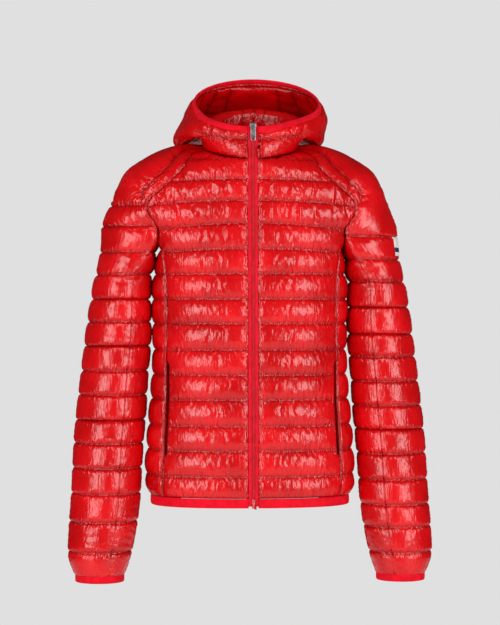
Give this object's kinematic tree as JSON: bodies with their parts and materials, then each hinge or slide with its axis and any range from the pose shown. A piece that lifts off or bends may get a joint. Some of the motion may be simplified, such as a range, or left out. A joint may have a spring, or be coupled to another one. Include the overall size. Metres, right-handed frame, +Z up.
{
  "type": "ski jacket",
  "caption": "Hooded quilted down jacket with raglan sleeves, full-length front zip, side-seam pockets and elastic-bound hem, cuffs and face opening; sleeves raise and bend, zips run.",
  "frame": {"origin": "middle of the hanger loop, inside the back of the neck", "axes": "+X to the wearer's left, -Y out of the front, +Z up"},
  "size_m": [0.6792, 0.3229, 0.932],
  "materials": {
    "armhole_left": "glossy quilted nylon",
    "armhole_right": "glossy quilted nylon",
    "back_panel": "glossy quilted nylon",
    "body_lining": "smooth nylon",
    "cuff_binding_left": "matt knitted elastic",
    "cuff_binding_right": "matt knitted elastic",
    "elbow_left": "glossy quilted nylon",
    "elbow_right": "glossy quilted nylon",
    "forearm_left": "glossy quilted nylon",
    "forearm_lining_left": "smooth nylon",
    "forearm_lining_right": "smooth nylon",
    "forearm_right": "glossy quilted nylon",
    "front_panel_left": "glossy quilted nylon",
    "front_panel_right": "glossy quilted nylon",
    "hanger_loop": "woven tape",
    "hem_binding": "matt knitted elastic",
    "hood_binding": "matt knitted elastic",
    "hood_centre": "glossy quilted nylon",
    "hood_lining": "smooth nylon",
    "hood_side_left": "glossy quilted nylon",
    "hood_side_right": "glossy quilted nylon",
    "insertion_pin": "glossy red lacquer",
    "neck_tape": "woven tape",
    "pocket_bag_left": "smooth nylon",
    "pocket_bag_right": "smooth nylon",
    "pocket_pull_left": "glossy red lacquer",
    "pocket_pull_right": "glossy red lacquer",
    "pocket_slider_left": "glossy red lacquer",
    "pocket_slider_right": "glossy red lacquer",
    "pocket_zip_left": "woven tape",
    "pocket_zip_right": "woven tape",
    "retainer_box": "glossy red lacquer",
    "side_panel_left": "glossy quilted nylon",
    "side_panel_right": "glossy quilted nylon",
    "sleeve_head_left": "glossy quilted nylon",
    "sleeve_head_right": "glossy quilted nylon",
    "sleeve_patch": "woven label",
    "storm_flap": "smooth nylon",
    "top_stop_left": "moulded coil",
    "top_stop_right": "moulded coil",
    "upper_sleeve_left": "glossy quilted nylon",
    "upper_sleeve_lining_left": "smooth nylon",
    "upper_sleeve_lining_right": "smooth nylon",
    "upper_sleeve_right": "glossy quilted nylon",
    "yoke_lining": "smooth nylon",
    "zip_chain_left": "moulded coil",
    "zip_chain_right": "moulded coil",
    "zip_pull": "brushed grey metal",
    "zip_slider": "brushed grey metal",
    "zip_tape_left": "woven tape",
    "zip_tape_right": "woven tape"
  },
  "bodies": {
    "jacket_body": {"front_panel_left": "front_panel_left", "front_panel_right": "front_panel_right", "side_panel_left": "side_panel_left", "side_panel_right": "side_panel_right", "back_panel": "back_panel", "sleeve_head_left": "sleeve_head_left", "sleeve_head_right": "sleeve_head_right", "hood_side_left": "hood_side_left", "hood_side_right": "hood_side_right", "hood_centre": "hood_centre", "armhole_left": "armhole_left", "armhole_right": "armhole_right", "body_lining": "body_lining", "yoke_lining": "yoke_lining", "hood_lining": "hood_lining", "pocket_bag_left": "pocket_bag_left", "pocket_bag_right": "pocket_bag_right", "storm_flap": "storm_flap", "hem_binding": "hem_binding", "hood_binding": "hood_binding", "zip_tape_left": "zip_tape_left", "zip_tape_right": "zip_tape_right", "pocket_zip_left": "pocket_zip_left", "pocket_zip_right": "pocket_zip_right", "zip_chain_left": "zip_chain_left", "zip_chain_right": "zip_chain_right", "top_stop_left": "top_stop_left", "top_stop_right": "top_stop_right", "insertion_pin": "insertion_pin", "retainer_box": "retainer_box", "neck_tape": "neck_tape", "hanger_loop": "hanger_loop"},
    "zip_slider": {"zip_slider": "zip_slider"},
    "zip_pull": {"zip_pull": "zip_pull"},
    "pocket_slider_left": {"pocket_slider_left": "pocket_slider_left"},
    "pocket_pull_left": {"pocket_pull_left": "pocket_pull_left"},
    "upper_sleeve_left": {"upper_sleeve_left": "upper_sleeve_left", "upper_sleeve_lining_left": "upper_sleeve_lining_left", "elbow_left": "elbow_left", "sleeve_patch": "sleeve_patch"},
    "forearm_left": {"forearm_left": "forearm_left", "forearm_lining_left": "forearm_lining_left", "cuff_binding_left": "cuff_binding_left"},
    "pocket_slider_right": {"pocket_slider_right": "pocket_slider_right"},
    "pocket_pull_right": {"pocket_pull_right": "pocket_pull_right"},
    "upper_sleeve_right": {"upper_sleeve_right": "upper_sleeve_right", "upper_sleeve_lining_right": "upper_sleeve_lining_right", "elbow_right": "elbow_right"},
    "forearm_right": {"forearm_right": "forearm_right", "forearm_lining_right": "forearm_lining_right", "cuff_binding_right": "cuff_binding_right"}
  },
  "joints": [
    {"name": "zip_slide", "type": "slide", "parent": "jacket_body", "child": "zip_slider", "axis": [0, -0.0343, -0.9994], "range_m": [0, 0.68]},
    {"name": "pull_swing", "type": "hinge", "parent": "zip_slider", "child": "zip_pull", "pos_m": [0, -0.16604, 0.02178], "axis": [-1, 0, 0], "range_deg": [0, 150]},
    {"name": "sleeve_raise_left", "type": "hinge", "parent": "jacket_body", "child": "upper_sleeve_left", "pos_m": [0.205, -0.053, -0.11], "axis": [0, -1, 0], "range_deg": [0, 45], "deforming": ["armhole_left"]},
    {"name": "elbow_bend_left", "type": "hinge", "parent": "upper_sleeve_left", "child": "forearm_left", "pos_m": [0.256, -0.053, -0.45], "axis": [-1, 0, 0], "range_deg": [0, 60], "deforming": ["elbow_left"]},
    {"name": "pocket_slide_left", "type": "slide", "parent": "jacket_body", "child": "pocket_slider_left", "axis": [0.0292, -0.0937, -0.9952], "range_m": [0, 0.145]},
    {"name": "pocket_pull_swing_left", "type": "hinge", "parent": "pocket_slider_left", "child": "pocket_pull_left", "pos_m": [0.15021, -0.11465, -0.41289], "axis": [-0.5749, -0.816, 0.0599], "range_deg": [0, 120]},
    {"name": "sleeve_raise_right", "type": "hinge", "parent": "jacket_body", "child": "upper_sleeve_right", "pos_m": [-0.205, -0.053, -0.11], "axis": [0, 1, 0], "range_deg": [0, 45], "deforming": ["armhole_right"]},
    {"name": "elbow_bend_right", "type": "hinge", "parent": "upper_sleeve_right", "child": "forearm_right", "pos_m": [-0.256, -0.053, -0.45], "axis": [-1, 0, 0], "range_deg": [0, 60], "deforming": ["elbow_right"]},
    {"name": "pocket_slide_right", "type": "slide", "parent": "jacket_body", "child": "pocket_slider_right", "axis": [-0.0292, -0.0937, -0.9952], "range_m": [0, 0.145]},
    {"name": "pocket_pull_swing_right", "type": "hinge", "parent": "pocket_slider_right", "child": "pocket_pull_right", "pos_m": [-0.15021, -0.11465, -0.41289], "axis": [-0.5749, 0.816, -0.0599], "range_deg": [0, 120]}
  ]
}
